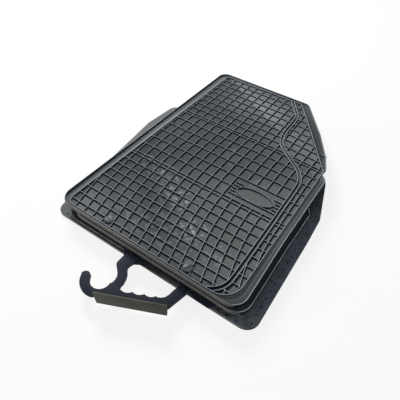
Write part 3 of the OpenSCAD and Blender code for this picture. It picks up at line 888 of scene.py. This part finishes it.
hanger = {
    "thick": 6.0,
    "edge": 0.7,
    "footThick": 3.2,
    "footEdge": 0.5,
    "footDrop": 0.6,            # the foot's middle lies lower than the grip's
    "throat": (192.6, -90.0),
    "throatRadius": 20.0,
    "tip": (161.8, -99.2, 9.2),     # the hook's rounded end
    "hookOut": 38.0,
    "slant": 24.4,              # degrees the grip leans
    "gripLength": 138,
    "gripDepth": 34.2,
}
finger = {"count": 4, "steps": 8, "pitch": 22.6, "first": 44.0, "crest": -13.4, "depth": 3.8}


def arcPoints(cx, cy, r, start, end, steps):
    angles = [math.radians(start + (end - start) * k / steps) for k in range(steps + 1)]
    return [(cx + r * math.cos(a), cy + r * math.sin(a)) for a in angles]


def gripPoint(u, w):
    # u runs from the throat's middle along the grip, w across it towards the mats
    a = math.radians(hanger["slant"])
    tx, ty = hanger["throat"]
    return tx + u * math.cos(a) - w * math.sin(a), ty + u * math.sin(a) + w * math.cos(a)


def plateMesh(name, loops, thick, edge, midZ):
    # a flat plate with rounded edges, from an outline and its holes
    curve = bpy.data.curves.new(name, "CURVE")
    curve.dimensions = "2D"
    curve.fill_mode = "BOTH"
    curve.extrude = (thick / 2 - edge) * mm
    curve.bevel_depth = edge * mm
    curve.bevel_resolution = 3
    curve.offset = -edge * mm
    for loop in loops:
        spline = curve.splines.new("POLY")
        spline.points.add(len(loop) - 1)
        for point, (x, y) in zip(spline.points, loop):
            point.co = (planX + x * mm, planY + y * mm, 0, 1)
        spline.use_cyclic_u = True
    holder = bpy.data.objects.new(name, curve)
    bpy.context.scene.collection.objects.link(holder)
    bpy.context.view_layer.update()
    mesh = bpy.data.meshes.new_from_object(holder.evaluated_get(bpy.context.evaluated_depsgraph_get()))
    bpy.data.objects.remove(holder)
    mesh.transform(Matrix.Translation((0, 0, midZ)))
    bm = bmesh.new()
    bm.from_mesh(mesh)
    bmesh.ops.remove_doubles(bm, verts=bm.verts, dist=0.00002)
    return finishMesh(name, bm, 50)


print("hanger")
tx, ty = hanger["throat"]
outline = [(191, -10), (191, -42), (193, -47), (201, -54), (208, -60), (213, -67), (215, -75), (214.5, -83)]
outline += arcPoints(tx, ty, hanger["throatRadius"], 15, -150, 14)
outline += [(173.0, -97.0), (170.4, -93.0)]
outline += arcPoints(*hanger["tip"], 40, 190, 10)
outline += arcPoints(tx - 2.4, ty + 0.4, hanger["hookOut"], 200, 266 + hanger["slant"], 14)
outline += [gripPoint(0, -hanger["gripDepth"]), gripPoint(hanger["gripLength"], -hanger["gripDepth"])]
outline += [gripPoint(141, -31), (344, -16), (346, -10)]
hole = [(326, -10), (322, -14), (319, -28), (317.5, -40), (314.5, -48), (309.5, -53)]
for i in reversed(range(finger["count"])):
    for k in range(finger["steps"]):
        t = 1 - k / finger["steps"]
        w = finger["crest"] - finger["depth"] * (1 - (2 * t - 1) ** 2)
        x, y = gripPoint(finger["first"] + (i + t) * finger["pitch"], w)
        if x < 306:
            hole.append((x, y))
hole += [(236, -84), (233.4, -79), (233.6, -71), (231, -61), (226.5, -52), (220, -45), (217.0, -40)]
hole += [(217.5, -34), (219, -28), (220, -10)]
bodyMesh = plateMesh("hangerBody", [outline + hole], hanger["thick"], hanger["edge"], webZ)
makeObject("hangerBody", bodyMesh, hangerPlastic, "hanger", "hanger_plastic",
           "hanger_left_arm", "hanger_right_arm", "hanger_grip", "hanger_hook")

foot = [(171, -1), (190, -22), (192, -29), (217, -29), (221, -26), (230, -20), (236, -19), (252, -10),
        (336, -10), (362, -19), (384, -19), (392, -19), (401, -10), (401, 32), (171, 32)]
footZ = webZ - hanger["footDrop"] * mm
footMesh = plateMesh("hangerFoot", [foot], hanger["footThick"], hanger["footEdge"], footZ)
makeObject("hangerFoot", footMesh, hangerPlastic, "hanger", "hanger_plastic", "hanger_foot")

footRibs = {"count": 7, "left": 172.25, "width": 230, "low": -9.6, "high": -7.4}
footRibProfile = [(-1.2, 0), (-1.0, 3.0), (-0.5, 3.3), (0.5, 3.3), (1.0, 3.0), (1.2, 0)]
bm = bmesh.new()
for i in range(1, footRibs["count"] + 1):
    x = footRibs["left"] + i * footRibs["width"] / (footRibs["count"] + 1)
    sweepRibs(bm, [(x, footRibs["low"]), (x, footRibs["high"])], footRibProfile, 0, webZ, False)
makeObject("hangerFootRibs", finishMesh("hangerFootRibs", bm), hangerPlastic,
           "hanger", "hanger_plastic", "hanger_foot_ribs")

palm = {"long": 138.0, "tall": 37.0, "near": -34.0, "far": -38.0, "endSlant": 2.5, "edge": 0.7}
half = palm["tall"] / 2
palmEnds = [(0, half), (palm["endSlant"], -half), (palm["long"], -half), (palm["long"], half)]
bm = bmesh.new()
sides = []
for w in (palm["near"], palm["far"]):
    side = []
    for u, h in palmEnds:
        x, y = gripPoint(u, w)
        side.append(bm.verts.new(toFrame(x, y, h, webZ)))
    sides.append(side)
near, far = sides
bm.faces.new(near)
bm.faces.new(list(reversed(far)))
for k in range(4):
    bm.faces.new((near[k], near[(k + 1) % 4], far[(k + 1) % 4], far[k]))
bmesh.ops.recalc_face_normals(bm, faces=bm.faces)
bmesh.ops.bevel(bm, geom=list(bm.edges), offset=palm["edge"] * mm, segments=3, profile=0.5, affect="EDGES")
makeObject("palmFlange", finishMesh("palmFlange", bm, 50), palmLitPlastic,
           "hanger", "palm_face", "hanger_palm_flange")

print("stage and light")
ground = {"half": 6, "color": (0.82, 0.81, 0.79, 1), "roughness": 0.9, "seenGlow": 0.85}
bm = bmesh.new()
for a, b in squareSigns:
    bm.verts.new((a * ground["half"], b * ground["half"], 0))
bm.faces.new(bm.verts)
mesh = bpy.data.meshes.new("floor")
bm.to_mesh(mesh)
bm.free()
floor = bpy.data.objects.new("floor", mesh)
bpy.context.scene.collection.objects.link(floor)
material = bpy.data.materials.new("paleFloor")
material.use_nodes = True
tree = material.node_tree
shader = tree.nodes["Principled BSDF"]
shader.inputs["Base Color"].default_value = ground["color"]
shader.inputs["Roughness"].default_value = ground["roughness"]
glow = tree.nodes.new("ShaderNodeEmission")
glow.inputs["Strength"].default_value = 1.0
path = tree.nodes.new("ShaderNodeLightPath")    # the floor glows only where it is seen or mirrored
seen = mathNode(tree, "MAXIMUM", path.outputs["Is Glossy Ray"], path.outputs["Is Transmission Ray"])
seen = mathNode(tree, "MAXIMUM", path.outputs["Is Camera Ray"], seen)
mix = tree.nodes.new("ShaderNodeMixShader")
tree.links.new(mathNode(tree, "MULTIPLY", seen, ground["seenGlow"]), mix.inputs[0])
tree.links.new(shader.outputs[0], mix.inputs[1])
tree.links.new(glow.outputs[0], mix.inputs[2])
tree.links.new(mix.outputs[0], tree.nodes["Material Output"].inputs[0])
mesh.materials.append(material)

sky = {"color": (0.62, 0.74, 1.0, 1), "strength": 0.055, "seenStrength": 1.0}
world = bpy.data.worlds.new("studio")
bpy.context.scene.world = world
world.use_nodes = True
tree = world.node_tree
background = tree.nodes["Background"]
background.inputs["Color"].default_value = sky["color"]
background.inputs["Strength"].default_value = sky["strength"]
white = tree.nodes.new("ShaderNodeBackground")
white.inputs["Strength"].default_value = sky["seenStrength"]
path = tree.nodes.new("ShaderNodeLightPath")
mix = tree.nodes.new("ShaderNodeMixShader")
tree.links.new(path.outputs["Is Camera Ray"], mix.inputs[0])
tree.links.new(background.outputs[0], mix.inputs[1])
tree.links.new(white.outputs[0], mix.inputs[2])
tree.links.new(mix.outputs[0], tree.nodes["World Output"].inputs[0])


def softBox(name, place, aim, width, height, power, color):
    lamp = bpy.data.lights.new(name, "AREA")
    lamp.shape = "RECTANGLE"
    lamp.size, lamp.size_y = width, height
    lamp.energy = power
    lamp.color = color
    thing = bpy.data.objects.new(name, lamp)
    bpy.context.scene.collection.objects.link(thing)
    thing.location = place
    thing.rotation_euler = (Vector(place) - Vector(aim)).to_track_quat("Z", "Y").to_euler()


# place, aim, width, height, power and colour of each lamp
lamps = {
    "keyBox": ((-2.05, 1.42, 1.75), (0, 0, 0), 1.2, 0.8, 138, (1.0, 0.99, 0.97)),
    "frontBox": ((-1.5, -1.9, 0.55), (-0.15, -0.3, 0.02), 1.4, 0.8, 32, (1.0, 0.975, 0.93)),
    "rightBox": ((1.7, 0.1, 2.5), (0.1, -0.1, 0), 1.6, 1.2, 17, (0.86, 0.93, 1.0)),
}
for name, values in lamps.items():
    softBox(name, *values)

view = {
    "lens": 32.4,
    "sensor": 36,
    "nearest": 0.02,
    "eye": (518.37, -298.18, 596.30),       # in plan, and above the driver's rim
    "right": (0.83043, 0.55432, 0.05583),
    "up": (-0.43947, 0.59018, 0.67716),
    "back": (0.34241, -0.58687, 0.73371),
}
camera = bpy.data.cameras.new("camera")
camera.lens = view["lens"]
camera.sensor_width = view["sensor"]
camera.clip_start = view["nearest"]
cameraObject = bpy.data.objects.new("camera", camera)
bpy.context.scene.collection.objects.link(cameraObject)
turn = Matrix((view["right"], view["up"], view["back"])).transposed().to_4x4()
cameraObject.matrix_world = Matrix.Translation(toFrame(*view["eye"], rimHigh.z)) @ turn
bpy.context.scene.camera = cameraObject
bpy.context.scene.view_settings.view_transform = "Standard"
